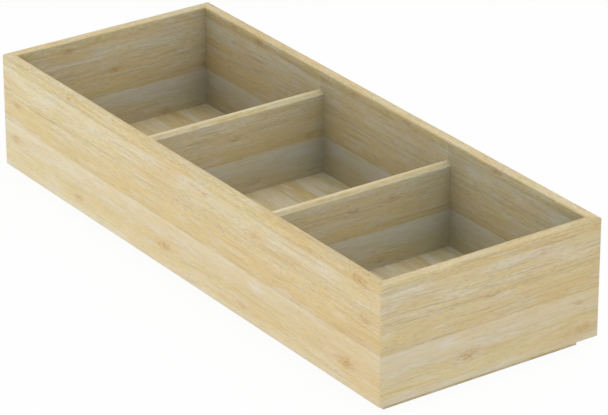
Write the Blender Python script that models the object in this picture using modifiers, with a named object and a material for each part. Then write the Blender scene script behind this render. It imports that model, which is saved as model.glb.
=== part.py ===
"""Bamboo drawer organizer with three compartments and a base that nests in a like organizer's rim.

Four mitred wall boards stand round a floor board that is let into a rebate along their lower edges.
Two dividers with chamfered top edges stand on the floor, with their ends in stopped housings in the
side walls. A base board under the floor is set in from the walls, so organizers stack.

Metres, +Z up. X is across the organizer, Y is along it, and the origin is at the middle of the
base board's underside.
"""

import math

import bpy
import bmesh
from mathutils import Matrix, Vector

# Whole organizer
LENGTH = 0.350
WIDTH = 0.1344
WALL_HEIGHT = 0.0646

# Boards
WALL_THICKNESS = 0.006
FLOOR_THICKNESS = 0.006
DIVIDER_THICKNESS = 0.006
BASE_THICKNESS = 0.006

# Dividers: the distance between their middles, and how far they stop below the rim
DIVIDER_PITCH = 0.1141
DIVIDER_DROP = 0.0111
DIVIDER_CHAMFER = 0.0018

# Joinery: how deep the floor and the dividers are let into the walls
FLOOR_REBATE = 0.003
HOUSING_DEPTH = 0.002

# Base board: room between its edge and the rim of the organizer below
NESTING_CLEARANCE = 0.0014

# Sanded edges of the boards, and the rounding of the box's four upright corners
ARRIS_RADIUS = 0.0006
CORNER_RADIUS = 0.0009
ARRIS_STEPS = 4
ROUNDING_LIMIT_SHARE = 0.25
CHAMFER_LIMIT_SHARE = 0.45

# Glue line between any two boards, and how far a cut runs past what it cuts
JOINT_GAP = 0.0003
CUT_OVERRUN = 0.002

# Mesh points closer than this are one point
WELD_DISTANCE = 0.00001

# Levels above the surface that the organizer stands on
WALL_BOTTOM = BASE_THICKNESS + JOINT_GAP
FLOOR_TOP = WALL_BOTTOM + FLOOR_THICKNESS
RIM = WALL_BOTTOM + WALL_HEIGHT
DIVIDER_BOTTOM = FLOOR_TOP + JOINT_GAP
DIVIDER_TOP = RIM - DIVIDER_DROP

# Inner faces of the walls
INNER_WIDTH = WIDTH - 2 * WALL_THICKNESS
INNER_LENGTH = LENGTH - 2 * WALL_THICKNESS

# Colours of the boards: red, green, blue
WALL_COLOUR = (0.72, 0.58, 0.37)
FLOOR_COLOUR = (0.62, 0.47, 0.28)
DIVIDER_COLOUR = (0.68, 0.54, 0.34)
BASE_COLOUR = (0.60, 0.46, 0.28)
BAMBOO_ROUGHNESS = 0.45


def clear_scene():
    """Remove every object that the file opened with."""
    for obj in list(bpy.data.objects):
        bpy.data.objects.remove(obj, do_unlink=True)


def new_collection(name):
    """Make a collection and link it to the scene."""
    collection = bpy.data.collections.new(name)
    bpy.context.scene.collection.children.link(collection)
    return collection


def put_in(obj, collection):
    """Move an object out of its collections and into one."""
    for old in list(obj.users_collection):
        old.objects.unlink(obj)
    collection.objects.link(obj)


def bamboo(name, colour):
    """Make a board's own clear-lacquered bamboo."""
    material = bpy.data.materials.new(name)
    material.use_nodes = True
    shader = material.node_tree.nodes["Principled BSDF"]
    shader.inputs["Base Color"].default_value = (*colour, 1)
    shader.inputs["Roughness"].default_value = BAMBOO_ROUGHNESS
    shader.inputs["Metallic"].default_value = 0
    material.diffuse_color = (*colour, 1)
    return material


def eased_corner(corner, radius, middle_angle):
    """Return points on the arc that rounds a square corner which points along middle_angle."""
    centre_offset = radius * math.sqrt(2)
    centre = Vector(corner) - centre_offset * Vector((math.cos(middle_angle), math.sin(middle_angle)))
    points = []
    for step in range(ARRIS_STEPS + 1):
        angle = middle_angle + math.radians(90) * (step / ARRIS_STEPS - 0.5)
        points.append(centre + radius * Vector((math.cos(angle), math.sin(angle))))
    return points


def extruded_board(name, outline, length, collection):
    """Make a closed mesh from a flat outline in local XY, extruded along local Z about its middle."""
    curve = bpy.data.curves.new(name + "_outline", "CURVE")
    curve.dimensions = "2D"
    curve.fill_mode = "BOTH"
    curve.extrude = length / 2
    spline = curve.splines.new("POLY")
    spline.points.add(len(outline) - 1)
    for point, place in zip(spline.points, outline):
        point.co = (place[0], place[1], 0, 1)
    spline.use_cyclic_u = True
    outline_object = bpy.data.objects.new(name + "_outline", curve)
    collection.objects.link(outline_object)
    evaluated = outline_object.evaluated_get(bpy.context.evaluated_depsgraph_get())
    mesh = bpy.data.meshes.new_from_object(evaluated)
    mesh.name = name
    edit = bmesh.new()
    edit.from_mesh(mesh)
    bmesh.ops.remove_doubles(edit, verts=edit.verts, dist=WELD_DISTANCE)
    bmesh.ops.recalc_face_normals(edit, faces=edit.faces)
    edit.to_mesh(mesh)
    edit.free()
    board = bpy.data.objects.new(name, mesh)
    board.matrix_world = outline_object.matrix_world
    collection.objects.link(board)
    bpy.data.objects.remove(outline_object, do_unlink=True)
    bpy.data.curves.remove(curve)
    return board


def block(name, size, location, heading, collection):
    """Make a box of a given size, turned about Z, with its scale applied."""
    bpy.ops.mesh.primitive_cube_add(size=1, location=location, rotation=(0, 0, heading))
    box = bpy.context.object
    box.name = name
    box.data.name = name
    box.data.transform(Matrix.Diagonal((*size, 1)))
    put_in(box, collection)
    return box


def mark_as_cutter(obj):
    """Show a cutter as wire and keep it out of renders."""
    obj.hide_render = True
    obj.display_type = "WIRE"


def cut(board, cutter):
    """Cut one shape out of a board."""
    boolean = board.modifiers.new(cutter.name, "BOOLEAN")
    boolean.operation = "DIFFERENCE"
    boolean.solver = "EXACT"
    boolean.object = cutter


def ease_edges(board, radius):
    """Round every edge of a box-shaped board, as sanding does."""
    bevel = board.modifiers.new("eased_edges", "BEVEL")
    bevel.width = radius
    bevel.segments = ARRIS_STEPS
    bevel.limit_method = "ANGLE"


def wall_outline():
    """Return a wall's section: X is 0 at the inner face and grows outwards, Y is 0 at the wall's bottom.

    The lower inner edge is cut away as the rebate for the floor, and the other edges are eased.
    """
    radius = min(ARRIS_RADIUS, WALL_THICKNESS * ROUNDING_LIMIT_SHARE)
    rebate_height = FLOOR_THICKNESS + JOINT_GAP
    points = [Vector((FLOOR_REBATE, 0))]
    points += eased_corner((WALL_THICKNESS, 0), radius, math.radians(-45))
    points += eased_corner((WALL_THICKNESS, WALL_HEIGHT), radius, math.radians(45))
    points += eased_corner((0, WALL_HEIGHT), radius, math.radians(135))
    points += [Vector((0, rebate_height)), Vector((FLOOR_REBATE, rebate_height))]
    return points


def mitre_cutter(name, corner, away, heading, collection):
    """Make the block that cuts a wall's end at 45 degrees, half a glue line off the mitre plane."""
    side = 2 * (math.sqrt(2) * WALL_THICKNESS + CUT_OVERRUN)
    height = WALL_HEIGHT + 2 * CUT_OVERRUN
    centre = corner + away * (side / 2 - JOINT_GAP / 2)
    cutter = block(name, (side, side, height), centre, heading + math.radians(45), collection)
    mark_as_cutter(cutter)
    return cutter


def corner_cutter(name, corner, heading, collection):
    """Make the cove-shaped cutter that rounds an upright corner of the box.

    In local XY the box's corner is at zero, and both of its faces run off in the negative directions.
    """
    radius = min(CORNER_RADIUS, WALL_THICKNESS * ROUNDING_LIMIT_SHARE)
    outline = eased_corner((0, 0), radius, math.radians(45))
    outline += [
        Vector((-radius, CUT_OVERRUN)),
        Vector((CUT_OVERRUN, CUT_OVERRUN)),
        Vector((CUT_OVERRUN, -radius)),
    ]
    cutter = extruded_board(name, outline, WALL_HEIGHT + 2 * CUT_OVERRUN, collection)
    cutter.location = corner
    cutter.rotation_euler = (0, 0, heading)
    mark_as_cutter(cutter)
    return cutter


def wall(name, heading, outer_distance, half_length, parts, cutters):
    """Make one wall board whose outer face looks along heading, with both ends mitred and rounded."""
    turn = Matrix.Rotation(heading, 3, "Z")
    board = extruded_board(name, wall_outline(), 2 * half_length, parts)
    board.location = turn @ Vector((outer_distance - WALL_THICKNESS, 0, WALL_BOTTOM))
    board.rotation_euler = (math.radians(90), 0, heading)
    board.data.materials.append(bamboo(name + "_bamboo", WALL_COLOUR))
    for end, quarter_turn in ((1, 0), (-1, math.radians(-90))):
        corner = turn @ Vector((outer_distance, end * half_length, WALL_BOTTOM + WALL_HEIGHT / 2))
        away = turn @ Vector((-1, end, 0)).normalized()
        label = f"{name}_end_{1 if end > 0 else 2}"
        cut(board, mitre_cutter(label + "_mitre", corner, away, heading, cutters))
        cut(board, corner_cutter(label + "_rounding", corner, heading + quarter_turn, cutters))
    return board


def divider_outline(thickness, bottom, top, chamfer):
    """Return a divider's section: X across its thickness, Y up, with both top edges chamfered."""
    half = thickness / 2
    return [
        Vector((-half, bottom)),
        Vector((half, bottom)),
        Vector((half, top - chamfer)),
        Vector((half - chamfer, top)),
        Vector((chamfer - half, top)),
        Vector((-half, top - chamfer)),
    ]


def across(board, y):
    """Turn a shape that was extruded along local Z so that it runs along X, at a place along Y."""
    board.location = (0, y, 0)
    board.rotation_euler = (math.radians(90), 0, math.radians(90))


def divider(name, y, parts):
    """Make a divider that stands on the floor and reaches into both side walls' housings."""
    chamfer = min(DIVIDER_CHAMFER, DIVIDER_THICKNESS * CHAMFER_LIMIT_SHARE)
    outline = divider_outline(DIVIDER_THICKNESS, DIVIDER_BOTTOM, DIVIDER_TOP, chamfer)
    reach = INNER_WIDTH + 2 * (HOUSING_DEPTH - JOINT_GAP)
    board = extruded_board(name, outline, reach, parts)
    across(board, y)
    board.data.materials.append(bamboo(name + "_bamboo", DIVIDER_COLOUR))
    return board


def housing_cutter(name, y, cutters):
    """Make the divider's shape, one glue line larger all round, that cuts its two stopped housings."""
    chamfer = min(DIVIDER_CHAMFER, DIVIDER_THICKNESS * CHAMFER_LIMIT_SHARE)
    outline = divider_outline(
        DIVIDER_THICKNESS + 2 * JOINT_GAP,
        FLOOR_TOP - FLOOR_THICKNESS / 2,
        DIVIDER_TOP + JOINT_GAP,
        chamfer + (2 - math.sqrt(2)) * JOINT_GAP,
    )
    cutter = extruded_board(name, outline, INNER_WIDTH + 2 * HOUSING_DEPTH, cutters)
    across(cutter, y)
    mark_as_cutter(cutter)
    return cutter


def floor_panel(parts):
    """Make the floor board, which fills the rebate round the walls' lower edges."""
    let_in = 2 * (FLOOR_REBATE - JOINT_GAP)
    size = (INNER_WIDTH + let_in, INNER_LENGTH + let_in, FLOOR_THICKNESS)
    board = block("floor_panel", size, (0, 0, FLOOR_TOP - FLOOR_THICKNESS / 2), 0, parts)
    board.data.materials.append(bamboo("floor_panel_bamboo", FLOOR_COLOUR))
    return board


def nesting_base(parts):
    """Make the base board, glued under the floor and small enough to drop inside a like rim."""
    inset = 2 * NESTING_CLEARANCE
    size = (INNER_WIDTH - inset, INNER_LENGTH - inset, BASE_THICKNESS)
    board = block("nesting_base", size, (0, 0, BASE_THICKNESS / 2), 0, parts)
    ease_edges(board, min(ARRIS_RADIUS, BASE_THICKNESS * ROUNDING_LIMIT_SHARE))
    board.data.materials.append(bamboo("nesting_base_bamboo", BASE_COLOUR))
    return board


def build():
    """Put the organizer together."""
    clear_scene()
    parts = new_collection("drawer_organizer")
    cutters = new_collection("drawer_organizer_cutters")

    half_width = WIDTH / 2
    half_length = LENGTH / 2
    side_walls = [
        wall("right_wall", 0, half_width, half_length, parts, cutters),
        wall("left_wall", math.radians(180), half_width, half_length, parts, cutters),
    ]
    wall("back_wall", math.radians(90), half_length, half_width, parts, cutters)
    wall("front_wall", math.radians(-90), half_length, half_width, parts, cutters)

    floor_panel(parts)
    nesting_base(parts)

    for name, side in (("front_divider", -1), ("rear_divider", 1)):
        y = side * DIVIDER_PITCH / 2
        divider(name, y, parts)
        housing = housing_cutter(name + "_housing", y, cutters)
        for side_wall in side_walls:
            cut(side_wall, housing)


build()
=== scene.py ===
import math

import bmesh
import bpy
import numpy as np
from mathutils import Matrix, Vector


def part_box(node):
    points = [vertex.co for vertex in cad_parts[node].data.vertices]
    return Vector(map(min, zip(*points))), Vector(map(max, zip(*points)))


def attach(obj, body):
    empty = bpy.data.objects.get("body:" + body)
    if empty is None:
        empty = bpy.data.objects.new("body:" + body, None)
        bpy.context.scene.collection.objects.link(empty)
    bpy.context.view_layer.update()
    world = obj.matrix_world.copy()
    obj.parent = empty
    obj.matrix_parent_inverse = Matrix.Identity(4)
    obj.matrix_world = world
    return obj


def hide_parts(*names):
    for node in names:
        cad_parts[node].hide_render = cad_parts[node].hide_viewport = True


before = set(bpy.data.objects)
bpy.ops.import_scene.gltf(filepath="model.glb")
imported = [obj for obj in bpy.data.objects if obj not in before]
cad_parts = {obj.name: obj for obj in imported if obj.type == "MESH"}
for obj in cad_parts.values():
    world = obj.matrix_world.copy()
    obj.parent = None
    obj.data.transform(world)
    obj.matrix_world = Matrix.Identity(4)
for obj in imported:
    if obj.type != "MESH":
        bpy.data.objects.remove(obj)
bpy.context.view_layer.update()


# The two long side walls are boards of laminated bamboo, 6 mm thick, with the grain running along them.
# Their ends are mitred and glued to the end walls, their lower inside edge is rebated for the floor panel,
# and two stopped housings in the inner face hold the dividers. All the arrises are eased by hand.

MITRE = math.radians(45)
MITRE_GLUE = 0.00002
GLUE_LINE = 0.00004
ARRIS_EASE = 0.0006
CORNER_ROUND = 0.0009
ARRIS_STEPS = 4
STATION_STEP = 0.0035
EASE_SUPPORT = 0.0013
END_CLEAR = 0.0010
EASE_WANDER = 0.22
SANDING_WAVES = ((7.3, 1.0, 1.0), (17.9, 2.1, 0.6), (41.0, -1.0, 0.4))
SANDING_FADE = 8
FOOT_EASE_SHARE = 0.15
CORNER_WEAR = 0.25
MERGE_DISTANCE = 0.000001
SHARP_ANGLE = math.radians(38)

low_left, high_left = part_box("left_wall")
low_front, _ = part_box("front_wall")
low_panel, high_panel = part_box("floor_panel")
low_front_divider, high_front_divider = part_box("front_divider")
low_rear_divider, high_rear_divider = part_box("rear_divider")

WALL = high_left.x - low_left.x
HALF_WIDTH = -low_left.x
HALF_LENGTH = -low_front.y
WALL_FOOT = low_left.z
RIM = high_left.z
SHOULDER = high_panel.z + GLUE_LINE
REBATE = HALF_WIDTH - high_panel.x - GLUE_LINE
DIVIDER_TOP = high_front_divider.z
DIVIDER_HALF = (high_front_divider.y - low_front_divider.y) / 2
DIVIDER_CHAMFER = 0.0018
DIVIDER_PLACES = (
    (low_front_divider.y + high_front_divider.y) / 2,
    (low_rear_divider.y + high_rear_divider.y) / 2,
)
HOUSING_HALF = DIVIDER_HALF + GLUE_LINE
HOUSING_TOP = DIVIDER_TOP + GLUE_LINE
HOUSING_DEPTH = high_front_divider.x - (HALF_WIDTH - WALL) + GLUE_LINE


def eased_outline(corners, support):
    """Rows round a board's section, from its corners in anticlockwise order.

    An eased corner becomes an arc of radius s round corner - s (n1 + n2) / (1 + n1.n2), where s is the corner's
    share of the full easing and n1 and n2 are the outward normals of its two sides, and the arc turns evenly from
    n1 to n2. A row on each side of the arc keeps the easing narrow. Each row has a base point, the step from it to
    the arc's centre, its normal, and how much of it is arris, goes into a housing, and faces a compartment. A
    corner's last number is for the side before it.
    """
    points = np.array([corner[:2] for corner in corners], float)
    rows = []
    for index, (_, _, eased, housed, inner) in enumerate(corners):
        here = points[index]
        next_inner = corners[(index + 1) % len(corners)][4]
        if not eased:
            rows.append((here, (0, 0), (0, 0), 0, housed, max(inner, next_inner)))
            continue
        before = here - points[index - 1]
        after = points[(index + 1) % len(points)] - here
        before = before / np.hypot(*before)
        after = after / np.hypot(*after)
        first = np.array((before[1], -before[0]))
        last = np.array((after[1], -after[0]))
        turn = math.acos(np.clip(first @ last, -1, 1))
        centre = -(first + last) / (1 + first @ last)
        rows.append((here - before * support, -first, first, 0, housed, inner))
        for share in np.linspace(0, 1, ARRIS_STEPS + 1):
            normal = (math.sin((1 - share) * turn) * first + math.sin(share * turn) * last) / math.sin(turn)
            faced = inner + share * (next_inner - inner)
            rows.append((here, eased * centre, eased * normal, eased, housed, faced))
        rows.append((here + after * support, -last, last, 0, housed, next_inner))
    return [np.array(column, float) for column in zip(*rows)]


def wander(along, half, phase):
    """How hand sanding varies along a board: the sum of sine waves, each given by its rate, its share of the phase
    and its size, over the sum of the sizes, and faded out at both ends."""
    place = along / half
    waves = sum(size * np.sin(rate * place + share * phase) for rate, share, size in SANDING_WAVES)
    return waves / sum(size for _, _, size in SANDING_WAVES) * (1 - place ** SANDING_FADE)


def closed_board(name, grid, arris, inner):
    """A closed board: row m of station k is joined to row m + 1 and to station k + 1, and the end stations are
    filled. Each point keeps how far it is worn arris, which on a divider's chamfers also carries painted shade, and
    how far it faces a compartment, which sets where the painted shade falls."""
    stations, rows = grid.shape[:2]
    index = np.arange(stations * rows).reshape(stations, rows)
    beside = np.roll(index, -1, axis=1)
    quads = np.stack((index[:-1], index[1:], beside[1:], beside[:-1]), axis=-1).reshape(-1, 4)
    ends = [index[0].tolist(), index[-1, ::-1].tolist()]
    mesh = bpy.data.meshes.new(name)
    mesh.from_pydata(grid.reshape(-1, 3).tolist(), [], quads.tolist() + ends)
    for title, values in (("arris", arris), ("inner", inner)):
        kept = mesh.attributes.new(title, "FLOAT", "POINT")
        kept.data.foreach_set("value", np.broadcast_to(values, grid.shape[:2]).reshape(-1).astype(np.float32))
    shell = bmesh.new()
    shell.from_mesh(mesh)
    bmesh.ops.remove_doubles(shell, verts=shell.verts, dist=MERGE_DISTANCE)
    bmesh.ops.recalc_face_normals(shell, faces=shell.faces)
    shell.to_mesh(mesh)
    shell.free()
    mesh.polygons.foreach_set("use_smooth", np.ones(len(mesh.polygons), bool))
    mesh.set_sharp_from_angle(angle=SHARP_ANGLE)
    board = bpy.data.objects.new(name, mesh)
    bpy.context.scene.collection.objects.link(board)
    return board


def wall_stations(half, housings):
    """Places along a wall, and how much each is housed. At each side of a housing two stations share one place, one
    in the wall's face and one in the housing."""
    reach = half - WALL - CORNER_ROUND - END_CLEAR
    flat = DIVIDER_HALF - DIVIDER_CHAMFER
    shifts = ((-HOUSING_HALF, 0), (-HOUSING_HALF, 1), (-flat, 1), (flat, 1), (HOUSING_HALF, 1), (HOUSING_HALF, 0))
    stations = [
        (along, 0, 0)
        for along in np.linspace(-reach, reach, round(2 * reach / STATION_STEP) + 1)
        if all(abs(along - middle) > HOUSING_HALF + END_CLEAR for middle in housings)
    ]
    for middle in housings:
        stations += [(middle + shift, order, housed) for order, (shift, housed) in enumerate(shifts)]
    along, _, housed = np.array(sorted(stations), float).T
    return along, housed


def mitred_wall(name, half, housings, phase, place):
    """A wall's surface, from stations along it and rows round its section.

    On the straight part a row keeps its depth from the outer face and its height. At each end the rows that are
    nearer the outer face than the corner's radius turn through 45 degrees about the corner's centre, and the others
    run on to the mitre, where distance along and depth add up to half the outer length. A housing takes its rows
    inwards, and its top falls at both sides with the divider's chamfer. place turns distance along, depth and
    height into a point. The section's corners are depth, height, share of the easing, housed, and facing a
    compartment.
    """
    base, centre, normal, arris, recess, inner = eased_outline([
        (0, WALL_FOOT, FOOT_EASE_SHARE, 0, 0),
        (REBATE, WALL_FOOT, 0, 0, 0),
        (REBATE, SHOULDER, 0, 0, 0),
        (WALL, SHOULDER, 0, 1, 1),
        (WALL, HOUSING_TOP, 0, 1, 1),
        (WALL, HOUSING_TOP, 0, 0, 1),
        (WALL, RIM, 1, 0, 1),
        (0, RIM, 1, 0, 0),
    ], EASE_SUPPORT)
    along, housed = wall_stations(half, housings)
    ease = ARRIS_EASE * (1 + EASE_WANDER * wander(along, half, phase))
    section = base[None] + ease[:, None, None] * (centre + normal)[None]
    away = np.min([np.abs(along - middle) for middle in (*housings, 2 * half)], axis=0)
    fall = np.clip(away - DIVIDER_HALF + DIVIDER_CHAMFER, 0, DIVIDER_CHAMFER) * (away < HOUSING_HALF + GLUE_LINE)
    run = np.repeat(along[:, None], len(base), axis=1)
    depth = section[..., 0] - HOUSING_DEPTH * housed[:, None] * recess[None]
    height = section[..., 1] - fall[:, None] * (base[None, :, 1] == HOUSING_TOP)
    worn = np.repeat(arris[None], len(along), axis=0)

    turn = np.linspace(0, MITRE, ARRIS_STEPS + 2)[:, None]
    edge = (base + ARRIS_EASE * (centre + normal))[None]
    inside = edge[..., 0] >= CORNER_ROUND
    spare = CORNER_ROUND - edge[..., 0]
    end_run = np.where(
        inside, half - edge[..., 0] - CORNER_ROUND * (1 - np.tan(turn)), half - CORNER_ROUND + spare * np.sin(turn)
    )
    end_depth = np.where(inside, edge[..., 0], CORNER_ROUND - spare * np.cos(turn))
    end_height = np.repeat(edge[..., 1], len(turn), axis=0)
    end_run[-1] -= MITRE_GLUE
    end_worn = np.maximum(arris[None], np.where(inside, 0, CORNER_WEAR * turn / turn[-1]))

    run = np.concatenate((-end_run[::-1], run, end_run))
    depth = np.concatenate((end_depth[::-1], depth, end_depth))
    height = np.concatenate((end_height[::-1], height, end_height))
    worn = np.concatenate((end_worn[::-1], worn, end_worn))
    return closed_board(name, np.stack(place(run, depth, height), axis=-1), worn, inner)


def display(*levels):
    """A tone given in display levels of 0 to 255, as the linear colour that a shader takes, by the sRGB curve."""
    shares = np.array(levels) / 255
    return (*(np.where(shares <= 0.04045, shares / 12.92, ((shares + 0.055) / 1.055) ** 2.4)).tolist(), 1.0)


def step(tree, kind, inputs, output=0, **settings):
    """Adds one node to a material. Each input is a number, a colour or the output of another node."""
    node = tree.nodes.new("ShaderNode" + kind)
    for key, value in settings.items():
        setattr(node, key, value)
    for key, value in inputs.items():
        if isinstance(value, bpy.types.NodeSocket):
            tree.links.new(value, node.inputs[key])
        else:
            node.inputs[key].default_value = value
    return node.outputs[output]


def reckon(tree, operation, *terms):
    """One step of arithmetic between numbers."""
    return step(tree, "Math", dict(enumerate(terms)), operation=operation)


def times(tree, one, other):
    """The product of two numbers."""
    return reckon(tree, "MULTIPLY", one, other)


def less(tree, one, other):
    """One number less another."""
    return reckon(tree, "SUBTRACT", one, other)


def larger(tree, one, other):
    """The larger of two numbers."""
    return reckon(tree, "MAXIMUM", one, other)


def parts_of(tree, vector):
    """The three numbers in a vector."""
    parted = tree.nodes.new("ShaderNodeSeparateXYZ")
    tree.links.new(vector, parted.inputs[0])
    return parted.outputs


def mixed(tree, amount, under, over, blend="MIX"):
    """One tone laid over another by an amount from 0 to 1. A Mix node's colours are its sockets 6 and 7, and 2 is
    their result."""
    return step(tree, "Mix", {0: amount, 6: under, 7: over}, 2, data_type="RGBA", blend_type=blend)


def fade(tree, value, start, end, low=0.0, high=1.0):
    """Turns smoothly from low, where value is at start, to high, where it is at end."""
    inputs = {0: value, 1: start, 2: end, 3: low, 4: high}
    return step(tree, "MapRange", inputs, interpolation_type="SMOOTHSTEP")


def streaks(tree, place, shift, lengths, detail, roughness):
    """Noise drawn out into streaks: lengths are its size along, across and through the grain in millimetres."""
    scaled = step(tree, "VectorMath", {0: place, 1: tuple(1 / length for length in lengths)}, operation="MULTIPLY")
    moved = step(tree, "VectorMath", {0: scaled, 1: shift}, operation="ADD")
    return step(tree, "TexNoise", {"Vector": moved, "Scale": 1.0, "Detail": detail, "Roughness": roughness})


def layer(tree, place, shift, pattern):
    """Streaks that are laid on more and more, from least to most, as their noise goes from start to full."""
    lengths, detail, roughness, start, full, least, most = pattern
    return fade(tree, streaks(tree, place, shift, lengths, detail, roughness), start, full, least, most)


# A node scar's half width as a share of its half length, and the lengths and widths of its tail, patch and eye in
# those half lengths and half widths.
SCAR_WIDTH = 0.48
TAIL_LENGTH, TAIL_WIDTH, TAIL_LOST = 4.5, 0.9, 0.5
PATCH_LENGTH, PATCH_LOST = 1.1, 0.8
EYE_RADIUS, LID_THICKNESS = 0.8, 0.3
LID_START, LID_FULL = -0.4, 0.7
FIBRE_PARTING = 0.5


def node_scar():
    """The mark where a joint of the bamboo cane was: a rough brown patch with a warm tail drawn out along the grain,
    sometimes round a paler eye, with the fibres parting round it.

    u runs along and v across the grain, in half lengths and half widths, r is the distance from the centre and e how
    clear the eye is. Tail and patch are each (1 - lost e) exp(-(u / length)^2 - (v / width)^2), with a width of 1 for
    the patch. The eye's lower lid is exp(-((r - radius) / thickness)^2), faded in downwards, and the fibres bend by
    v exp(-parting r^2). Each is added to those of the scars before.
    """
    tree = bpy.data.node_groups.new("bamboo node scar", "ShaderNodeTree")
    sockets = (("Place", "Vector"), ("Centre", "Vector"), ("Half length", "Float"), ("Eye", "Float"),
               ("Marks before", "Vector"), ("Lids before", "Float"))
    for title, kind in sockets:
        tree.interface.new_socket(title, in_out="INPUT", socket_type="NodeSocket" + kind)
    tree.interface.new_socket("Marks", in_out="OUTPUT", socket_type="NodeSocketVector")
    tree.interface.new_socket("Lids", in_out="OUTPUT", socket_type="NodeSocketFloat")
    given = tree.nodes.new("NodeGroupInput").outputs
    away = parts_of(tree, step(tree, "VectorMath", {0: given["Place"], 1: given["Centre"]}, operation="SUBTRACT"))
    half_width = times(tree, given["Half length"], SCAR_WIDTH)
    u = reckon(tree, "DIVIDE", away[0], given["Half length"])
    v = reckon(tree, "DIVIDE", away[1], half_width)

    def squares(one, other):
        return reckon(tree, "MULTIPLY_ADD", one, one, times(tree, other, other))

    def bell(square, steepness=1.0):
        return reckon(tree, "EXPONENT", times(tree, square, -steepness))

    def kept(lost):
        return reckon(tree, "MULTIPLY_ADD", given["Eye"], -lost, 1.0)

    tail = bell(squares(reckon(tree, "DIVIDE", u, TAIL_LENGTH), reckon(tree, "DIVIDE", v, TAIL_WIDTH)))
    tail = times(tree, tail, kept(TAIL_LOST))
    patch = times(tree, bell(squares(reckon(tree, "DIVIDE", u, PATCH_LENGTH), v)), kept(PATCH_LOST))
    distance = squares(u, v)
    ring = reckon(tree, "DIVIDE", less(tree, reckon(tree, "SQRT", distance), EYE_RADIUS), LID_THICKNESS)
    lid = times(tree, bell(times(tree, ring, ring)), fade(tree, v, LID_START, LID_FULL))
    bend = times(tree, times(tree, bell(distance, FIBRE_PARTING), v), half_width)
    mark = step(tree, "CombineXYZ", {0: tail, 1: patch, 2: bend})
    marks = step(tree, "VectorMath", {0: given["Marks before"], 1: mark}, operation="ADD")
    lids = reckon(tree, "MULTIPLY_ADD", lid, given["Eye"], given["Lids before"])
    found = tree.nodes.new("NodeGroupOutput").inputs
    tree.links.new(marks, found["Marks"])
    tree.links.new(lids, found["Lids"])
    return tree


NODE_SCAR = node_scar()


def marks_along(tree, place, scars):
    """Adds up node scars: their tail, patch, bend and eyes' lids."""
    marks, lids = (0, 0, 0), 0.0
    for centre_along, centre_across, half_length, eye in scars:
        group = tree.nodes.new("ShaderNodeGroup")
        group.node_tree = NODE_SCAR
        tree.links.new(place, group.inputs["Place"])
        group.inputs["Centre"].default_value = (centre_along, centre_across, 0)
        group.inputs["Half length"].default_value = half_length
        group.inputs["Eye"].default_value = eye
        if lids:
            tree.links.new(marks, group.inputs["Marks before"])
            tree.links.new(lids, group.inputs["Lids before"])
        marks, lids = group.outputs["Marks"], group.outputs["Lids"]
    if not lids:
        return 0.0, 0.0, 0.0, 0.0
    tail, patch, bend = parts_of(tree, marks)
    return tail, patch, bend, lids


MILLIMETRES = 1000.0
# Painted shade: what a board's tone is multiplied by where it faces a compartment, to look cooler on strong fibres
# and on pale ones and darker in the corners, and how many millimetres the corners' painted shade reaches from the
# walls, up from the floor and behind a divider.
INNER_SHADE_TINT = (1.03, 1.13, 1.31, 1.0)
INNER_SHADE_TINT_PALE = (1.00, 1.15, 1.49, 1.0)
NOOK_PAINTED_SHADE = (0.42, 0.47, 0.57, 1.0)
CORNER_REACH = 15.0
CORNER_AMOUNT = 0.40
FLOOR_REACH = 35.0
FLOOR_AMOUNT = 0.54
BEHIND_DEPTH = 30.0
BEHIND_CLEAR = 18.0
NOOK_LIMIT = 0.80


def painted_nook_shade(tree, xyz):
    """Painted shade in the compartments: how much darker a place is painted towards the corners and the floor.

    It is the corner amount times the sum of exp(-d / reach), over the distances d from the side walls and from the
    end walls or dividers, and on an upright also the floor amount times exp(-(d / reach)^2), with d the height above
    the floor, less the corner amount for the upright's own face. A divider's distance grows with height above its
    top, and behind it already over the upper half of its height, because the light comes over it there. The result
    is held between 0 and the limit.
    """
    side = less(tree, (HALF_WIDTH - WALL) * MILLIMETRES, reckon(tree, "ABSOLUTE", xyz[0]))
    out = reckon(tree, "ABSOLUTE", xyz[1])
    near, far = [
        reckon(tree, "ABSOLUTE", less(tree, out, (DIVIDER_PLACES[1] + half) * MILLIMETRES))
        for half in (-DIVIDER_HALF, DIVIDER_HALF)
    ]
    top = DIVIDER_TOP * MILLIMETRES
    above = larger(tree, less(tree, xyz[2], top), 0.0)
    outward = less(tree, out, DIVIDER_PLACES[1] * MILLIMETRES)
    behind = reckon(tree, "GREATER_THAN", times(tree, outward, xyz[1]), 0.0)
    rise = step(tree, "MapRange", {0: xyz[2], 1: top - BEHIND_DEPTH, 2: top, 4: BEHIND_CLEAR})
    lift = larger(tree, above, times(tree, behind, rise))
    divider = reckon(tree, "ADD", reckon(tree, "MINIMUM", near, far), lift)
    end = reckon(tree, "MINIMUM", divider, less(tree, (HALF_LENGTH - WALL) * MILLIMETRES, out))
    total = 0.0
    for distance in (side, end):
        share = reckon(tree, "DIVIDE", larger(tree, distance, 0.0), -CORNER_REACH)
        total = reckon(tree, "MULTIPLY_ADD", reckon(tree, "EXPONENT", share), CORNER_AMOUNT, total)
    height = less(tree, xyz[2], SHOULDER * MILLIMETRES)
    depth = reckon(tree, "DIVIDE", height, FLOOR_REACH)
    deep = reckon(tree, "EXPONENT", times(tree, times(tree, depth, depth), -1.0))
    own = reckon(tree, "MULTIPLY_ADD", deep, FLOOR_AMOUNT, -CORNER_AMOUNT)
    total = reckon(tree, "MULTIPLY_ADD", reckon(tree, "GREATER_THAN", height, 0.0), own, total)
    return reckon(tree, "MINIMUM", larger(tree, total, 0.0), NOOK_LIMIT)


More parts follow.
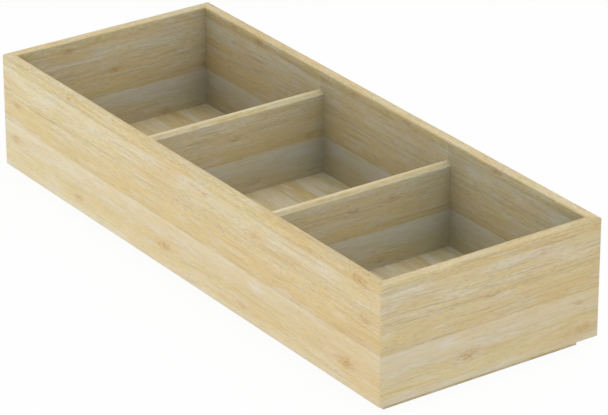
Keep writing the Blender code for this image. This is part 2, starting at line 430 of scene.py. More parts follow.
def strip_tones(tree, share, tones):
    """The tone of the glued strips, and how strong their fibres are, by the share of the way across the board. A new
    stop starts in the middle of the ramp and is then moved to its place."""
    ramp = tree.nodes.new("ShaderNodeValToRGB")
    stops = ramp.color_ramp.elements
    while len(stops) < len(tones):
        stops.new(0.5)
    for stop, (position, levels, strength) in zip(stops, tones):
        stop.position = position
        stop.color = (*display(*levels)[:3], strength)
    tree.links.new(share, ramp.inputs[0])
    return ramp.outputs["Color"], ramp.outputs["Alpha"]


# The layers of the figure. Each is a streak's size along, across and through the grain in millimetres, the detail
# and roughness of its noise, the noise at which it starts and is full, and the least and most that is laid on. The
# mottle and the hairs are used at more than one level, so they have only a size and a noise, and the ends a size.
WARM_CLOUDS = ((46, 9, 9), 1, 0.5, 0.45, 0.65, 0.0, 0.34)
BLUSH_CLOUDS = ((11, 3.4, 3.4), 1, 0.5, 0.54, 0.74, 0.0, 0.17)
YELLOW_CLOUDS = ((24, 5, 5), 1, 0.5, 0.41, 0.67, 0.0, 1.0)
PALE_CLOUDS = ((20, 4, 4), 1, 0.5, 0.47, 0.71, 0.0, 0.36)
BROAD_STREAKS = ((75, 1.7, 1.7), 2, 0.5, 0.48, 0.64, 0.0, 0.30)
LONG_ROWS = ((170, 1.0, 1.0), 2, 0.5, 0.53, 0.64, 0.0, 1.0)
FIBRE_SPECKS = ((2.8, 1.1, 1.1), 3, 0.7, 0.48, 0.66, 0.0, 0.50)
FIBRE_LINES = ((24, 0.66, 0.66), 3, 0.55, 0.50, 0.72, 0.0, 1.0)
SCAR_STROKES = ((2.3, 0.8, 0.8), 2, 0.5, 0.45, 0.58, 0.0, 1.0)
RUBBED_PATCHES = ((9, 3, 3), 2, 0.5, 0.35, 0.65, 0.20, 0.55)
TOP_MOTTLE = ((4.2, 2.2, 2.2), 2, 0.5)
HAIR_FIBRES = ((7, 0.24, 0.24), 2, 0.5)
BUNDLE_ENDS = (9, 0.55, 0.55)

# Where a layer starts and ends, and its least and most where they aren't 0 and 1, by the place across the board, by
# the noise or by the strength of the fibres.
TOP_BAND = (0.11, 0.06)
CURL_IN_MOTTLE = (0.50, 0.64)
CURL_BY_TOP_BAND = (0.0, 1.0, 0.12, 0.75)
SPOTS_IN_MOTTLE = (0.48, 0.34)
WARM_BY_PLACE = (0.45, 0.10, 0.8, 1.6)
YELLOW_BY_STRENGTH = (0.15, 0.75, 0.13, 0.41)
ROWS_BY_STRENGTH = (0.70, 1.0, 0.0, 0.42)
FIBRES_BY_STRENGTH = (0.0, 1.0, 0.42, 1.0)
SHADE_TINT_BY_STRENGTH = (0.10, 0.60)
TAN_BY_HAIR = (0.42, 0.70, 0.0, 0.20)
BREAKS_BY_HAIR = (0.30, 0.60, 0.55, 1.0)
BUNDLE_EDGE = (0.30, 0.12)

SPOT_AMOUNT = 0.72
FLECK_AMOUNT = 0.75
LINE_AMOUNT = 0.44
BUNDLE_AMOUNT = 0.34
TAIL_AMOUNT = 0.30
PATCH_AMOUNT = 0.72
LID_AMOUNT = 0.8
BROWN_AMOUNT = 0.55

YELLOW_FIBRE = display(220, 196, 128)
BLUSH = display(221, 187, 126)
CREAM = display(227, 218, 202)
TAN_FIBRE = display(195, 173, 132)
ROW_TAN = display(182, 161, 118)
STREAK_TAN = display(196, 171, 130)
BROWN_FIBRE = display(155, 136, 97)
DARK_BUNDLE = display(126, 101, 66)
SCAR_ORANGE = display(206, 162, 98)
SCAR_BROWN = display(150, 110, 56)
GREEN_TAN = display(204, 190, 134)
# The rubbed arrises' colour, which on the dividers' chamfers is partly painted shade.
ARRIS_WEAR_AND_CHAMFER_SHADE = display(199, 183, 130)


def figured(tree, tone, strength, strip_place, place, grain, fleck, batch):
    """The figure over a strip's own tone: curls and spots along the top edge, clouds of colour, pale flecks, streaks,
    rows, specks, fibre lines, hairs and dark bundle ends, each laid over those before. The lines, hairs and ends are
    given back too, for the relief."""
    top_band = fade(tree, strip_place, *TOP_BAND)
    mottle = streaks(tree, grain, batch, *TOP_MOTTLE)
    curl = times(tree, fade(tree, mottle, *CURL_IN_MOTTLE), fade(tree, top_band, *CURL_BY_TOP_BAND))
    spots = times(tree, fade(tree, mottle, *SPOTS_IN_MOTTLE), times(tree, top_band, SPOT_AMOUNT))
    warm = times(tree, layer(tree, grain, batch[::-1], WARM_CLOUDS), fade(tree, strip_place, *WARM_BY_PLACE))
    blush = larger(tree, larger(tree, layer(tree, grain, batch[::-1], BLUSH_CLOUDS), warm), spots)
    yellow = times(tree, layer(tree, grain, batch, YELLOW_CLOUDS), fade(tree, strength, *YELLOW_BY_STRENGTH))
    pale = larger(tree, layer(tree, grain, batch[::-1], PALE_CLOUDS), times(tree, fleck, FLECK_AMOUNT))
    broad = times(tree, layer(tree, grain, batch, BROAD_STREAKS), strength)
    rows = times(tree, layer(tree, grain, batch, LONG_ROWS), fade(tree, strength, *ROWS_BY_STRENGTH))
    specks = times(tree, layer(tree, place, batch, FIBRE_SPECKS), strength)
    fibrous = fade(tree, strength, *FIBRES_BY_STRENGTH)
    lines = times(tree, layer(tree, grain, batch, FIBRE_LINES), fibrous)
    hair = streaks(tree, grain, batch, *HAIR_FIBRES)
    shrunk = tuple(1 / size for size in BUNDLE_ENDS)
    cell = step(tree, "VectorMath", {0: grain, 1: shrunk}, operation="MULTIPLY")
    ends = fade(tree, step(tree, "TexVoronoi", {"Vector": cell, "Scale": 1.0}), *BUNDLE_EDGE)
    ends = times(tree, ends, fibrous)
    for amount, over in (
        (curl, GREEN_TAN),
        (yellow, YELLOW_FIBRE),
        (blush, BLUSH),
        (pale, CREAM),
        (broad, STREAK_TAN),
        (rows, ROW_TAN),
        (specks, TAN_FIBRE),
        (times(tree, lines, LINE_AMOUNT), BROWN_FIBRE),
        (fade(tree, hair, *TAN_BY_HAIR), TAN_FIBRE),
        (times(tree, ends, BUNDLE_AMOUNT), DARK_BUNDLE),
    ):
        tone = mixed(tree, amount, tone, over)
    return tone, lines, hair, ends


def scarred(tree, tone, tail, patch, lids, hair, place, batch):
    """Node scars over the figure: orange in the tail and the patch, and brown strokes in the patch and along the
    lids, broken by the hairs. The brown is given back too, for the relief."""
    broken = fade(tree, hair, *BREAKS_BY_HAIR)
    strokes = layer(tree, place, batch[::-1], SCAR_STROKES)
    brown = larger(tree, times(tree, patch, strokes), times(tree, lids, LID_AMOUNT))
    warmed = larger(tree, times(tree, tail, TAIL_AMOUNT), times(tree, patch, PATCH_AMOUNT))
    tone = mixed(tree, times(tree, warmed, broken), tone, SCAR_ORANGE)
    tone = mixed(tree, times(tree, brown, times(tree, broken, BROWN_AMOUNT)), tone, SCAR_BROWN)
    return tone, brown


def drifted(tree, tone, along, drift):
    """The slow change of the cane's colour from one end of a board to the other."""
    half_length, low_tint, high_tint = drift
    share = reckon(tree, "MULTIPLY_ADD", along, 0.5 / half_length, 0.5)
    return mixed(tree, 1.0, tone, mixed(tree, share, (*low_tint, 1.0), (*high_tint, 1.0)), "MULTIPLY")


def shaded(tree, tone, strength, arris, xyz, place, batch):
    """The tone where a board faces a compartment, with painted shade that makes it cooler and darker towards the
    corners and the floor, and on its rubbed arrises, where the chamfers' darker colour is partly painted shade. The
    rubbing is weaker where the painted shade is deep.
    """
    inner = step(tree, "Attribute", {}, "Fac", attribute_name="inner")
    painted_shade = painted_nook_shade(tree, xyz)
    shade_tint = mixed(tree, fade(tree, strength, *SHADE_TINT_BY_STRENGTH), INNER_SHADE_TINT_PALE, INNER_SHADE_TINT)
    # Painted shade: faces towards a compartment are tinted cooler and darkened towards the corners and the floor.
    tone = mixed(tree, inner, tone, mixed(tree, painted_shade, shade_tint, NOOK_PAINTED_SHADE), "MULTIPLY")
    unshaded = reckon(tree, "MULTIPLY_ADD", times(tree, inner, painted_shade), -1.0, 1.0)
    rubbed = times(tree, layer(tree, place, batch, RUBBED_PATCHES), unshaded)
    return mixed(tree, times(tree, arris, rubbed), tone, ARRIS_WEAR_AND_CHAMFER_SHADE)


# The noises that make scars ragged and bend the grain, and how far they move them, in millimetres. The glued strips
# bend less than the grain in them.
RAGGED_EDGES = ((4, 1.3, 1.3), 3, 0.7)
SHAKE_ALONG, SHAKE_ACROSS = 9.0, 4.0
SLOW_WAVES, SLOW_BEND = ((95, 14, 14), 1, 0.5), 4.0
QUICK_WAVES, QUICK_BEND = ((26, 5, 5), 1, 0.5), 1.4
STRIP_BEND = 0.30
NOISE_MIDDLE = 0.5
HAIR_RELIEF, LINE_RELIEF, BUNDLE_RELIEF, SCAR_RELIEF = 0.6, -0.5, -0.5, -0.8
BUMP_STRENGTH, BUMP_DEPTH = 0.5, 0.00012
SATIN, LINE_DULLING, HAIR_DULLING, ARRIS_DULLING = 0.36, 0.10, 0.14, 0.08
LACQUER_IOR, LACQUER_LEVEL = 1.48, 0.45


def bamboo(name, axes, tones, height, scars, flecks, batch, drift):
    """Laminated bamboo, lacquered satin.

    axes turns the object's coordinates in millimetres into distance along, across and through the grain. tones
    gives the glued strips' tones by their share of height, the whole way across in millimetres, and how strong the
    fibres are there. scars and pale flecks are centre along, centre across, half length in millimetres and eye. batch
    moves every noise, so no two boards match. drift is the board's half length in millimetres and its tints at both
    ends, as the colour of the cane changes slowly along it.
    """
    material = bpy.data.materials.new(name)
    material.use_nodes = True
    tree = material.node_tree
    tree.nodes.clear()
    coordinates = step(tree, "TexCoord", {}, "Object")
    xyz = parts_of(tree, step(tree, "VectorMath", {0: coordinates, "Scale": MILLIMETRES}, operation="SCALE"))
    along, across, through = axes(tree, xyz)
    place = step(tree, "CombineXYZ", {0: along, 1: across, 2: through})

    ragged = less(tree, streaks(tree, place, batch, *RAGGED_EDGES), NOISE_MIDDLE)
    shake = {0: times(tree, ragged, SHAKE_ALONG), 1: times(tree, ragged, SHAKE_ACROSS), 2: 0.0}
    ragged_place = step(tree, "VectorMath", {0: place, 1: step(tree, "CombineXYZ", shake)}, operation="ADD")
    tail, patch, bend, lids = marks_along(tree, ragged_place, scars)
    _, fleck, _, _ = marks_along(tree, ragged_place, flecks)

    slow = less(tree, streaks(tree, place, batch, *SLOW_WAVES), NOISE_MIDDLE)
    quick = less(tree, streaks(tree, place, batch, *QUICK_WAVES), NOISE_MIDDLE)
    wave = reckon(tree, "MULTIPLY_ADD", slow, SLOW_BEND, times(tree, quick, QUICK_BEND))
    bent = reckon(tree, "ADD", across, less(tree, wave, bend))
    grain = step(tree, "CombineXYZ", {0: along, 1: bent, 2: through})
    strip_place = reckon(tree, "DIVIDE", reckon(tree, "MULTIPLY_ADD", wave, STRIP_BEND, across), height)

    tone, strength = strip_tones(tree, strip_place, tones)
    tone, lines, hair, ends = figured(tree, tone, strength, strip_place, place, grain, fleck, batch)
    tone, brown = scarred(tree, tone, tail, patch, lids, hair, place, batch)
    tone = drifted(tree, tone, along, drift)
    arris = step(tree, "Attribute", {}, "Fac", attribute_name="arris")
    tone = shaded(tree, tone, strength, arris, xyz, place, batch)

    relief = reckon(tree, "MULTIPLY_ADD", lines, LINE_RELIEF, times(tree, hair, HAIR_RELIEF))
    relief = reckon(tree, "MULTIPLY_ADD", ends, BUNDLE_RELIEF, relief)
    relief = reckon(tree, "MULTIPLY_ADD", brown, SCAR_RELIEF, relief)
    bump = step(tree, "Bump", {"Height": relief, "Strength": BUMP_STRENGTH, "Distance": BUMP_DEPTH}, "Normal")
    dulled = reckon(tree, "MULTIPLY_ADD", lines, LINE_DULLING, SATIN)
    dulled = reckon(tree, "MULTIPLY_ADD", hair, HAIR_DULLING, dulled)
    dulled = reckon(tree, "MULTIPLY_ADD", arris, ARRIS_DULLING, dulled)
    surface = step(tree, "BsdfPrincipled", {
        "Base Color": tone,
        "Roughness": dulled,
        "IOR": LACQUER_IOR,
        "Specular IOR Level": LACQUER_LEVEL,
        "Normal": bump,
    })
    tree.links.new(surface, tree.nodes.new("ShaderNodeOutputMaterial").inputs["Surface"])
    return material


# The strips of every upright, from the rim down: share of the height, tone in display levels, and how strong the
# fibres are. The glue lines are 5, 37 and 61 mm below the rim.
STRIP_TONES = (
    (0.000, (227, 210, 165), 0.85),
    (0.064, (223, 206, 160), 0.90),
    (0.077, (210, 190, 143), 1.00),
    (0.090, (224, 211, 178), 0.60),
    (0.200, (224, 211, 177), 0.70),
    (0.270, (222, 203, 159), 0.85),
    (0.340, (223, 203, 159), 0.90),
    (0.400, (221, 199, 151), 0.65),
    (0.480, (219, 195, 144), 0.55),
    (0.556, (216, 191, 139), 0.60),
    (0.568, (212, 188, 139), 1.00),
    (0.584, (225, 209, 175), 0.10),
    (0.730, (220, 204, 167), 0.30),
    (0.790, (221, 203, 158), 0.50),
    (0.940, (225, 206, 161), 0.45),
    (0.955, (224, 211, 180), 0.35),
    (1.000, (222, 211, 181), 0.40),
)
WALL_HEIGHT = (RIM - WALL_FOOT) * MILLIMETRES


def lengthwise(tree, xyz):
    """Grain along Y, strips stacked down from the rim, thickness in X."""
    return xyz[1], less(tree, RIM * MILLIMETRES, xyz[2]), xyz[0]


def scars_at(half, shares):
    """Turns scars, given as shares of the length from one end and of the height from the rim, with a half length in
    millimetres and how clear the eye is, into millimetres from the board's middle and from the rim."""
    return [
        ((share - 0.5) * 2 * half * MILLIMETRES, down * WALL_HEIGHT, size, eye)
        for share, down, size, eye in shares
    ]


LEFT_SCARS = (
    (0.96, 0.39, 3.4, 0.2), (0.965, 0.71, 3.8, 0.0), (0.80, 0.03, 3.4, 0.0), (0.78, 0.88, 4.0, 0.1),
    (0.54, 0.81, 5.0, 0.0), (0.51, 0.32, 3.6, 0.9), (0.43, 0.13, 2.8, 0.6), (0.31, 0.23, 2.8, 0.8),
    (0.335, 0.89, 3.6, 0.3), (0.08, 0.80, 5.6, 0.0), (0.05, 0.045, 5.4, 0.0), (0.035, 0.34, 3.8, 0.6),
)
LEFT_FLECKS = ((0.485, 0.13, 5.5, 0.0), (0.86, 0.17, 4.5, 0.0), (0.30, 0.66, 6.0, 0.0))
RIGHT_SCARS = (
    (0.10, 0.42, 3.6, 0.4), (0.22, 0.03, 3.4, 0.0), (0.25, 0.86, 4.2, 0.3), (0.36, 0.30, 3.4, 0.8),
    (0.435, 0.04, 3.0, 0.2), (0.55, 0.86, 4.2, 0.3), (0.575, 0.055, 3.0, 0.1), (0.66, 0.44, 3.2, 0.8),
    (0.83, 0.05, 3.8, 0.0), (0.898, 0.03, 3.4, 0.0), (0.91, 0.82, 3.4, 0.7),
)
RIGHT_FLECKS = ((0.28, 0.14, 5.0, 0.0), (0.62, 0.66, 5.5, 0.0))
LEFT_DRIFT = (HALF_LENGTH * MILLIMETRES, (0.979, 0.959, 0.925), (1.040, 1.083, 1.116))
RIGHT_DRIFT = (HALF_LENGTH * MILLIMETRES, (1.035, 1.065, 1.110), (0.975, 0.950, 0.915))

left_wall = mitred_wall(
    "left_wall_board", HALF_LENGTH, DIVIDER_PLACES, phase=0.4,
    place=lambda run, depth, height: (depth - HALF_WIDTH, run, height),
)
right_wall = mitred_wall(
    "right_wall_board", HALF_LENGTH, DIVIDER_PLACES, phase=1.9,
    place=lambda run, depth, height: (HALF_WIDTH - depth, run, height),
)

for wall, node, scars, flecks, batch, drift in (
    (left_wall, "left_wall", LEFT_SCARS, LEFT_FLECKS, (3.1, 7.4, 1.2), LEFT_DRIFT),
    (right_wall, "right_wall", RIGHT_SCARS, RIGHT_FLECKS, (11.6, 2.9, 8.5), RIGHT_DRIFT),
):
    wall.data.materials.append(bamboo(
        node + " bamboo", lengthwise, STRIP_TONES, WALL_HEIGHT, scars_at(HALF_LENGTH, scars),
        scars_at(HALF_LENGTH, flecks), batch, drift,
    ))
    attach(wall, "root")
    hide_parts(node)


# The two short end walls are cut from the same board as the sides, mitred and rebated in the same way, without
# housings. The grain turns the corner, so each mitre shows by the change of its direction.

FRONT_SCARS = (
    (0.39, 0.80, 5.2, 0.0), (0.50, 0.33, 4.8, 1.0), (0.72, 0.14, 3.4, 0.4), (0.90, 0.65, 2.8, 0.8),
    (0.93, 0.89, 4.6, 0.4),
)
FRONT_FLECKS = ((0.695, 0.12, 5.0, 0.0), (0.30, 0.63, 5.5, 0.0))
BACK_SCARS = ((0.285, 0.09, 2.8, 0.2), (0.507, 0.36, 3.0, 0.2), (0.75, 0.87, 3.6, 0.6), (0.94, 0.52, 3.2, 0.8))
BACK_FLECKS = ((0.44, 0.15, 5.0, 0.0),)
FRONT_DRIFT = (HALF_WIDTH * MILLIMETRES, (1.002, 1.044, 1.107), (0.974, 0.971, 0.931))
BACK_DRIFT = (HALF_WIDTH * MILLIMETRES, (1.06, 1.02, 0.95), (0.95, 0.97, 1.03))


def crosswise(tree, xyz):
    """Grain along X, strips stacked down from the rim, thickness in Y."""
    return xyz[0], less(tree, RIM * MILLIMETRES, xyz[2]), xyz[1]


front_wall = mitred_wall(
    "front_wall_board", HALF_WIDTH, (), phase=3.2,
    place=lambda run, depth, height: (run, depth - HALF_LENGTH, height),
)
back_wall = mitred_wall(
    "back_wall_board", HALF_WIDTH, (), phase=4.6,
    place=lambda run, depth, height: (run, HALF_LENGTH - depth, height),
)

for wall, node, scars, flecks, batch, drift in (
    (front_wall, "front_wall", FRONT_SCARS, FRONT_FLECKS, (5.3, 14.2, 6.6), FRONT_DRIFT),
    (back_wall, "back_wall", BACK_SCARS, BACK_FLECKS, (17.8, 4.1, 2.7), BACK_DRIFT),
):
    wall.data.materials.append(bamboo(
        node + " bamboo", crosswise, STRIP_TONES, WALL_HEIGHT, scars_at(HALF_WIDTH, scars),
        scars_at(HALF_WIDTH, flecks), batch, drift,
    ))
    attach(wall, "root")
    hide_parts(node)


# The two dividers are lower boards of the same bamboo, chamfered along both top edges. Their ends are square and
# glued into the side walls' housings, and their lower edges stand on the floor panel.

DIVIDER_FOOT = high_panel.z + GLUE_LINE
DIVIDER_REACH = high_front_divider.x
DIVIDER_EASE = 0.0007
DIVIDER_SUPPORT = 0.0006
# The chamfers' darker colour is partly wear and partly painted shade, and the flat top takes a fifth of the painted
# compartment shade.
CHAMFER_WEAR_AND_SHADE = 2.0
TOP_SHADE = 0.2
FRONT_DIVIDER_SCARS = ((0.494, 0.33, 4.0, 1.0), (0.681, 0.33, 3.6, 0.4), (0.617, 0.83, 4.2, 0.6))
REAR_DIVIDER_SCARS = ((0.526, 0.37, 3.8, 0.9), (0.895, 0.53, 3.0, 0.3), (0.617, 0.81, 4.2, 0.6))
DIVIDER_DRIFT = (DIVIDER_REACH * MILLIMETRES, (1.14, 1.10, 1.08), (0.95, 0.99, 1.03))


def chamfered_divider(name, middle, phase):
    """A divider's surface: its section, a rectangle with the two top corners cut off, carried along X. The
    chamfers are painted darker than an arris, partly as wear of the cut fibres and partly as painted shade where they
    turn from the light, and the flat top takes a fifth of the painted compartment shade that the faces take."""
    flat = DIVIDER_HALF - DIVIDER_CHAMFER
    base, centre, normal, arris, _, inner = eased_outline([
        (-DIVIDER_HALF, DIVIDER_FOOT, 0, 0, 1),
        (DIVIDER_HALF, DIVIDER_FOOT, 0, 0, 1),
        (DIVIDER_HALF, DIVIDER_TOP - DIVIDER_CHAMFER, 1, 0, 1),
        (flat, DIVIDER_TOP, 1, 0, 1),
        (-flat, DIVIDER_TOP, 1, 0, TOP_SHADE),
        (-DIVIDER_HALF, DIVIDER_TOP - DIVIDER_CHAMFER, 1, 0, 1),
    ], DIVIDER_SUPPORT)
    along = np.linspace(-DIVIDER_REACH, DIVIDER_REACH, round(2 * DIVIDER_REACH / STATION_STEP) + 1)
    ease = DIVIDER_EASE * (1 + EASE_WANDER * wander(along, DIVIDER_REACH, phase))
    section = base[None] + ease[:, None, None] * (centre + normal)[None]
    run = np.repeat(along[:, None], len(base), axis=1)
    grid = np.stack((run, section[..., 0] + middle, section[..., 1]), axis=-1)
    cut = (base[:, 0] ** 2 > flat ** 2) & (base[:, 1] > DIVIDER_TOP - DIVIDER_CHAMFER)
    return closed_board(name, grid, np.where(cut, CHAMFER_WEAR_AND_SHADE, arris), inner)


for node, middle, phase, scars, batch in (
    ("front_divider", DIVIDER_PLACES[0], 5.1, FRONT_DIVIDER_SCARS, (21.4, 9.3, 4.4)),
    ("rear_divider", DIVIDER_PLACES[1], 0.9, REAR_DIVIDER_SCARS, (8.2, 19.5, 12.1)),
):
    divider = chamfered_divider(node + "_board", middle, phase)
    divider.data.materials.append(bamboo(
        node + " bamboo", crosswise, STRIP_TONES, WALL_HEIGHT, scars_at(HALF_WIDTH, scars), (), batch, DIVIDER_DRIFT
    ))
    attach(divider, "root")
    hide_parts(node)


# The floor panel is one bamboo board under all three compartments, with the grain along the box. Its edges are
# let into the walls' rebates and glued, so it can't be seen from outside.

PANEL_EASE = 0.0003
PANEL_SUPPORT = 0.0010
HALF_BAY = (HALF_WIDTH - WALL) * MILLIMETRES
# The floor's strips, from the left wall's inner face to the right one's, given as those of the uprights are.
FLOOR_TONES = (
    (0.00, (216, 194, 150), 0.40),
    (0.11, (211, 188, 140), 0.70),
    (0.13, (202, 176, 126), 1.00),
    (0.145, (217, 197, 157), 0.30),
    (0.25, (215, 194, 150), 0.45),
    (0.28, (209, 183, 132), 0.80),
    (0.36, (207, 180, 128), 0.85),
    (0.375, (217, 197, 158), 0.30),
    (0.48, (214, 192, 146), 0.45),
    (0.52, (213, 187, 136), 0.70),
    (0.61, (211, 186, 137), 0.70),
    (0.63, (215, 194, 150), 0.35),
    (0.71, (213, 192, 148), 0.45),
    (0.725, (201, 178, 128), 1.00),
    (0.74, (206, 182, 132), 0.75),
    (0.795, (193, 163, 104), 0.80),
    (0.825, (186, 157, 100), 0.80),
    (0.845, (210, 192, 151), 0.20),
    (0.870, (208, 190, 149), 0.30),
    (0.885, (195, 176, 128), 0.75),
    (0.930, (200, 180, 132), 0.75),
    (1.00, (212, 192, 142), 0.80),
)
# Along the box from its middle, across it from the left wall's inner face, half length, all in millimetres, and eye.
FLOOR_SCARS = (
    (-130, 96, 4.0, 0.2), (-84, 40, 3.6, 0.6), (-18, 104, 4.0, 0.0), (30, 58, 3.4, 0.5), (74, 112, 4.0, 0.1),
    (128, 92, 4.0, 0.3),
)
FLOOR_DRIFT = (HALF_LENGTH * MILLIMETRES, (1.02, 1.06, 1.12), (0.975, 0.95, 0.90))


def flat_board(name, low, high, ease_size, support, phase, inner):
    """A flat board as a rounded box: every point is a core point plus the easing's radius times a normal. The
    section's normals turn round its four corners, and at the ends they swing from across the board to along it."""
    half_x, half_y = (high.x - low.x) / 2, (high.y - low.y) / 2
    base, centre, normal, arris, _, _ = eased_outline([
        (-half_x, low.z, 1, 0, 0), (half_x, low.z, 1, 0, 0),
        (half_x, high.z, 1, 0, 0), (-half_x, high.z, 1, 0, 0),
    ], support)
    straight = np.linspace(support - half_y, half_y - support, round(2 * half_y / STATION_STEP) + 1)
    swing = np.radians(np.linspace(0, 90, ARRIS_STEPS + 1))
    end = half_y - ease_size + ease_size * np.sin(swing)
    along = np.concatenate((-end[::-1], straight, end))
    square = np.concatenate((np.cos(swing)[::-1], np.ones(len(straight)), np.cos(swing)))
    rounded = np.concatenate((np.ones(len(swing)), np.zeros(len(straight)), np.ones(len(swing))))
    ease = ease_size * (1 + EASE_WANDER * wander(np.clip(along / half_y, -1, 1), 1, phase) * (1 - rounded))
    section = base[None] + ease[:, None, None] * (centre[None] + square[:, None, None] * normal[None])
    run = np.repeat(along[:, None], len(base), axis=1)
    middle_x, middle_y = (high.x + low.x) / 2, (high.y + low.y) / 2
    grid = np.stack((section[..., 0] + middle_x, run + middle_y, section[..., 1]), axis=-1)
    return closed_board(name, grid, np.maximum(arris[None], rounded[:, None]), inner)


def floorwise(tree, xyz):
    """Grain along Y, strips side by side in X from the left wall's inner face, thickness in Z."""
    return xyz[1], reckon(tree, "ADD", xyz[0], HALF_BAY), xyz[2]


floor_panel = flat_board("floor_panel_board", low_panel, high_panel, PANEL_EASE, PANEL_SUPPORT, phase=2.2, inner=1)
floor_panel.data.materials.append(bamboo(
    "floor panel bamboo", floorwise, FLOOR_TONES, 2 * HALF_BAY, FLOOR_SCARS, (),
    batch=(6.7, 1.8, 15.2), drift=FLOOR_DRIFT,
))
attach(floor_panel, "root")
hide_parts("floor_panel")


# The nesting base is a smaller board glued under the floor panel, set in from the walls all round, so that one box
# sits in the rim of another. Its grain runs along the box, and all its edges are eased.

BASE_EASE = 0.0003
BASE_SUPPORT = 0.0010
low_base, high_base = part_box("nesting_base")
high_base.z = low_panel.z - GLUE_LINE
# The base's strips are paler and greyer than the other boards': painted light that brightens the base where it sits
# in shade under the walls.
BASE_TONES_PAINTED_LIGHTER = (
    (0.00, (236, 228, 207), 0.40),
    (0.16, (234, 225, 201), 0.60),
    (0.17, (226, 215, 187), 1.00),
    (0.18, (238, 231, 213), 0.25),
    (0.36, (236, 227, 205), 0.40),
    (0.37, (230, 217, 189), 0.80),
    (0.55, (228, 215, 185), 0.85),
    (0.56, (238, 231, 215), 0.25),
    (0.74, (236, 227, 207), 0.40),
    (0.75, (227, 213, 181), 0.85),
    (0.90, (230, 217, 187), 0.80),
    (0.91, (238, 231, 213), 0.30),
    (1.00, (236, 228, 207), 0.40),
)
BASE_SCARS = (
    (-142, 20, 4.0, 0.1), (-96, 78, 4.2, 0.5), (-35, 48, 3.6, 0.0), (22, 100, 4.0, 0.6), (88, 28, 3.6, 0.3),
    (140, 84, 4.2, 0.0),
)
BASE_DRIFT = (HALF_LENGTH * MILLIMETRES, (1.0, 1.0, 1.0), (1.0, 1.0, 1.0))

nesting_base = flat_board("nesting_base_board", low_base, high_base, BASE_EASE, BASE_SUPPORT, phase=3.7, inner=0)
nesting_base.data.materials.append(bamboo(
    "nesting base bamboo", floorwise, BASE_TONES_PAINTED_LIGHTER, 2 * HALF_BAY, BASE_SCARS, (),
    batch=(13.9, 6.2, 3.3), drift=BASE_DRIFT,
))
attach(nesting_base, "root")
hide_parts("nesting_base")


# The box stands on a white light table, wide enough to fill every view. The table glows a little and throws light
# up on to the walls, takes the box's soft shadow, and looks nearly white to the camera. From below the camera sees
# through it, so the box's underside can be looked at.

TABLE_RADIUS = 6.0
TABLE_RINGS = 12
TABLE_SPOKES = 96
TABLE_DROP = 0.0002
TABLE_WHITE = (0.90, 0.90, 0.90, 1.0)
TABLE_GLOW = 0.40
TABLE_LIFT = 0.955


def seen_by(tree):
    """Whether a ray comes straight from the camera, and whether it comes from there, a gloss or clear material."""
    camera_ray, glossy_ray, clear_ray = [
        step(tree, "LightPath", {}, ray) for ray in ("Is Camera Ray", "Is Glossy Ray", "Is Transmission Ray")
    ]
    return camera_ray, larger(tree, camera_ray, larger(tree, glossy_ray, clear_ray))


ring, spoke = np.meshgrid(np.linspace(0, 1, TABLE_RINGS + 1)[1:], np.linspace(0, 2 * np.pi, TABLE_SPOKES + 1)[:-1],
                          indexing="ij")
table_reach = TABLE_RADIUS * ring ** 2
table_points = np.stack(
    (table_reach * np.cos(spoke), table_reach * np.sin(spoke), np.full(ring.shape, -TABLE_DROP)), axis=-1
).reshape(-1, 3)
table_index = np.arange(TABLE_RINGS * TABLE_SPOKES).reshape(TABLE_RINGS, TABLE_SPOKES)
table_next = np.roll(table_index, -1, axis=1)
table_quads = np.stack((table_index[:-1], table_index[1:], table_next[1:], table_next[:-1]), axis=-1).reshape(-1, 4)
table_mesh = bpy.data.meshes.new("studio_table")
table_mesh.from_pydata(table_points.tolist(), [], table_quads.tolist() + [table_index[0].tolist()])
studio_table = bpy.data.objects.new("studio_table", table_mesh)
bpy.context.scene.collection.objects.link(studio_table)
table_paint = bpy.data.materials.new("studio table white")
table_paint.use_nodes = True
table_tree = table_paint.node_tree
table_tree.nodes.clear()
matt = step(table_tree, "BsdfDiffuse", {"Color": TABLE_WHITE})
glow = step(table_tree, "Emission", {"Color": (1, 1, 1, 1), "Strength": 1.0})
seen, shown = seen_by(table_tree)
lit = step(table_tree, "MapRange", {0: shown, 3: TABLE_GLOW, 4: TABLE_LIFT})
lifted = step(table_tree, "MixShader", {0: lit, 1: matt, 2: glow})
behind = step(table_tree, "NewGeometry", {}, "Backfacing")
clear = step(table_tree, "BsdfTransparent", {})
one_sided = step(table_tree, "MixShader", {0: times(table_tree, behind, seen), 1: lifted, 2: clear})
table_tree.links.new(one_sided, table_tree.nodes.new("ShaderNodeOutputMaterial").inputs["Surface"])
table_mesh.materials.append(table_paint)


# Plain soft studio light: an even white surround, a long low lamp to the left, a little warm, and a wide one
# overhead, so that the long left wall is brightest, the end wall a little darker, and the compartments fall into
# soft shade.

SURROUND = 0.59
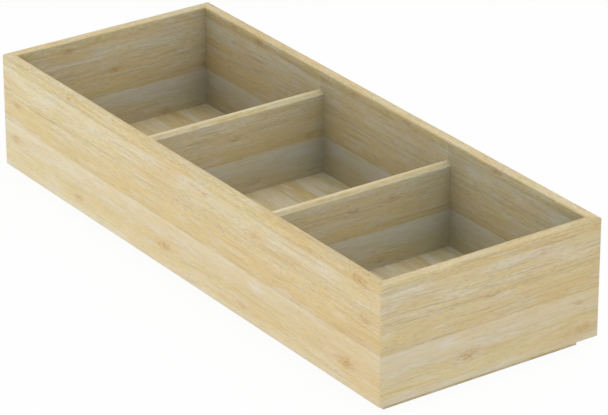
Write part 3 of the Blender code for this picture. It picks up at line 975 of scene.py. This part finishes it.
# Each lamp's name, place, width and height in metres, power in watts, and colour.
LAMPS = (
    ("left lamp", (-2.6, 0.0, 0.08), (1.8, 0.14), 14.0, (1.0, 0.99, 0.91)),
    ("overhead lamp", (-0.25, -0.7, 2.5), (2.4, 2.4), 29.0, (1.0, 1.0, 1.0)),
)

world = bpy.data.worlds.new("studio surround")
world.use_nodes = True
bpy.context.scene.world = world
world_tree = world.node_tree
world_tree.nodes.clear()
_, world_shown = seen_by(world_tree)
world_level = step(world_tree, "MapRange", {0: world_shown, 3: SURROUND, 4: 1.0})
background = step(world_tree, "Background", {"Color": (1, 1, 1, 1), "Strength": world_level})
world_tree.links.new(background, world_tree.nodes.new("ShaderNodeOutputWorld").inputs["Surface"])


def aimed(thing, place, target):
    """Puts a lamp or camera at a place, looking at a target, with its own top upwards."""
    thing.location = place
    thing.rotation_euler = (Vector(target) - Vector(place)).to_track_quat("-Z", "Y").to_euler()


for title, place, size, power, colour in LAMPS:
    lamp = bpy.data.lights.new(title, "AREA")
    lamp.shape = "RECTANGLE"
    lamp.size, lamp.size_y = size
    lamp.energy = power
    lamp.color = colour
    stand = bpy.data.objects.new(title, lamp)
    bpy.context.scene.collection.objects.link(stand)
    aimed(stand, place, (0, 0, RIM / 2))


# The camera stands in front and to the left, and looks down on the box from about 25 degrees with a long lens. Its
# place, aim, roll and lens were fitted to the box's edges as the photo shows them.

CAMERA_PLACE = (-0.97434658, -1.41128412, 0.82649212)
CAMERA_TARGET = (0.00566069, -0.00730212, 0.02910011)
CAMERA_ROLL = math.radians(-0.0516)
CAMERA_LENS = 214.4515
SENSOR_WIDTH = 36.0
NEAREST, FARTHEST = 0.05, 50.0

view = bpy.data.cameras.new("camera")
view.lens = CAMERA_LENS
view.sensor_width = SENSOR_WIDTH
view.sensor_fit = "HORIZONTAL"
view.clip_start = NEAREST
view.clip_end = FARTHEST
camera = bpy.data.objects.new("camera", view)
bpy.context.scene.collection.objects.link(camera)
aimed(camera, CAMERA_PLACE, CAMERA_TARGET)
camera.rotation_euler.rotate_axis("Z", CAMERA_ROLL)
bpy.context.scene.camera = camera
bpy.context.scene.view_settings.view_transform = "Standard"
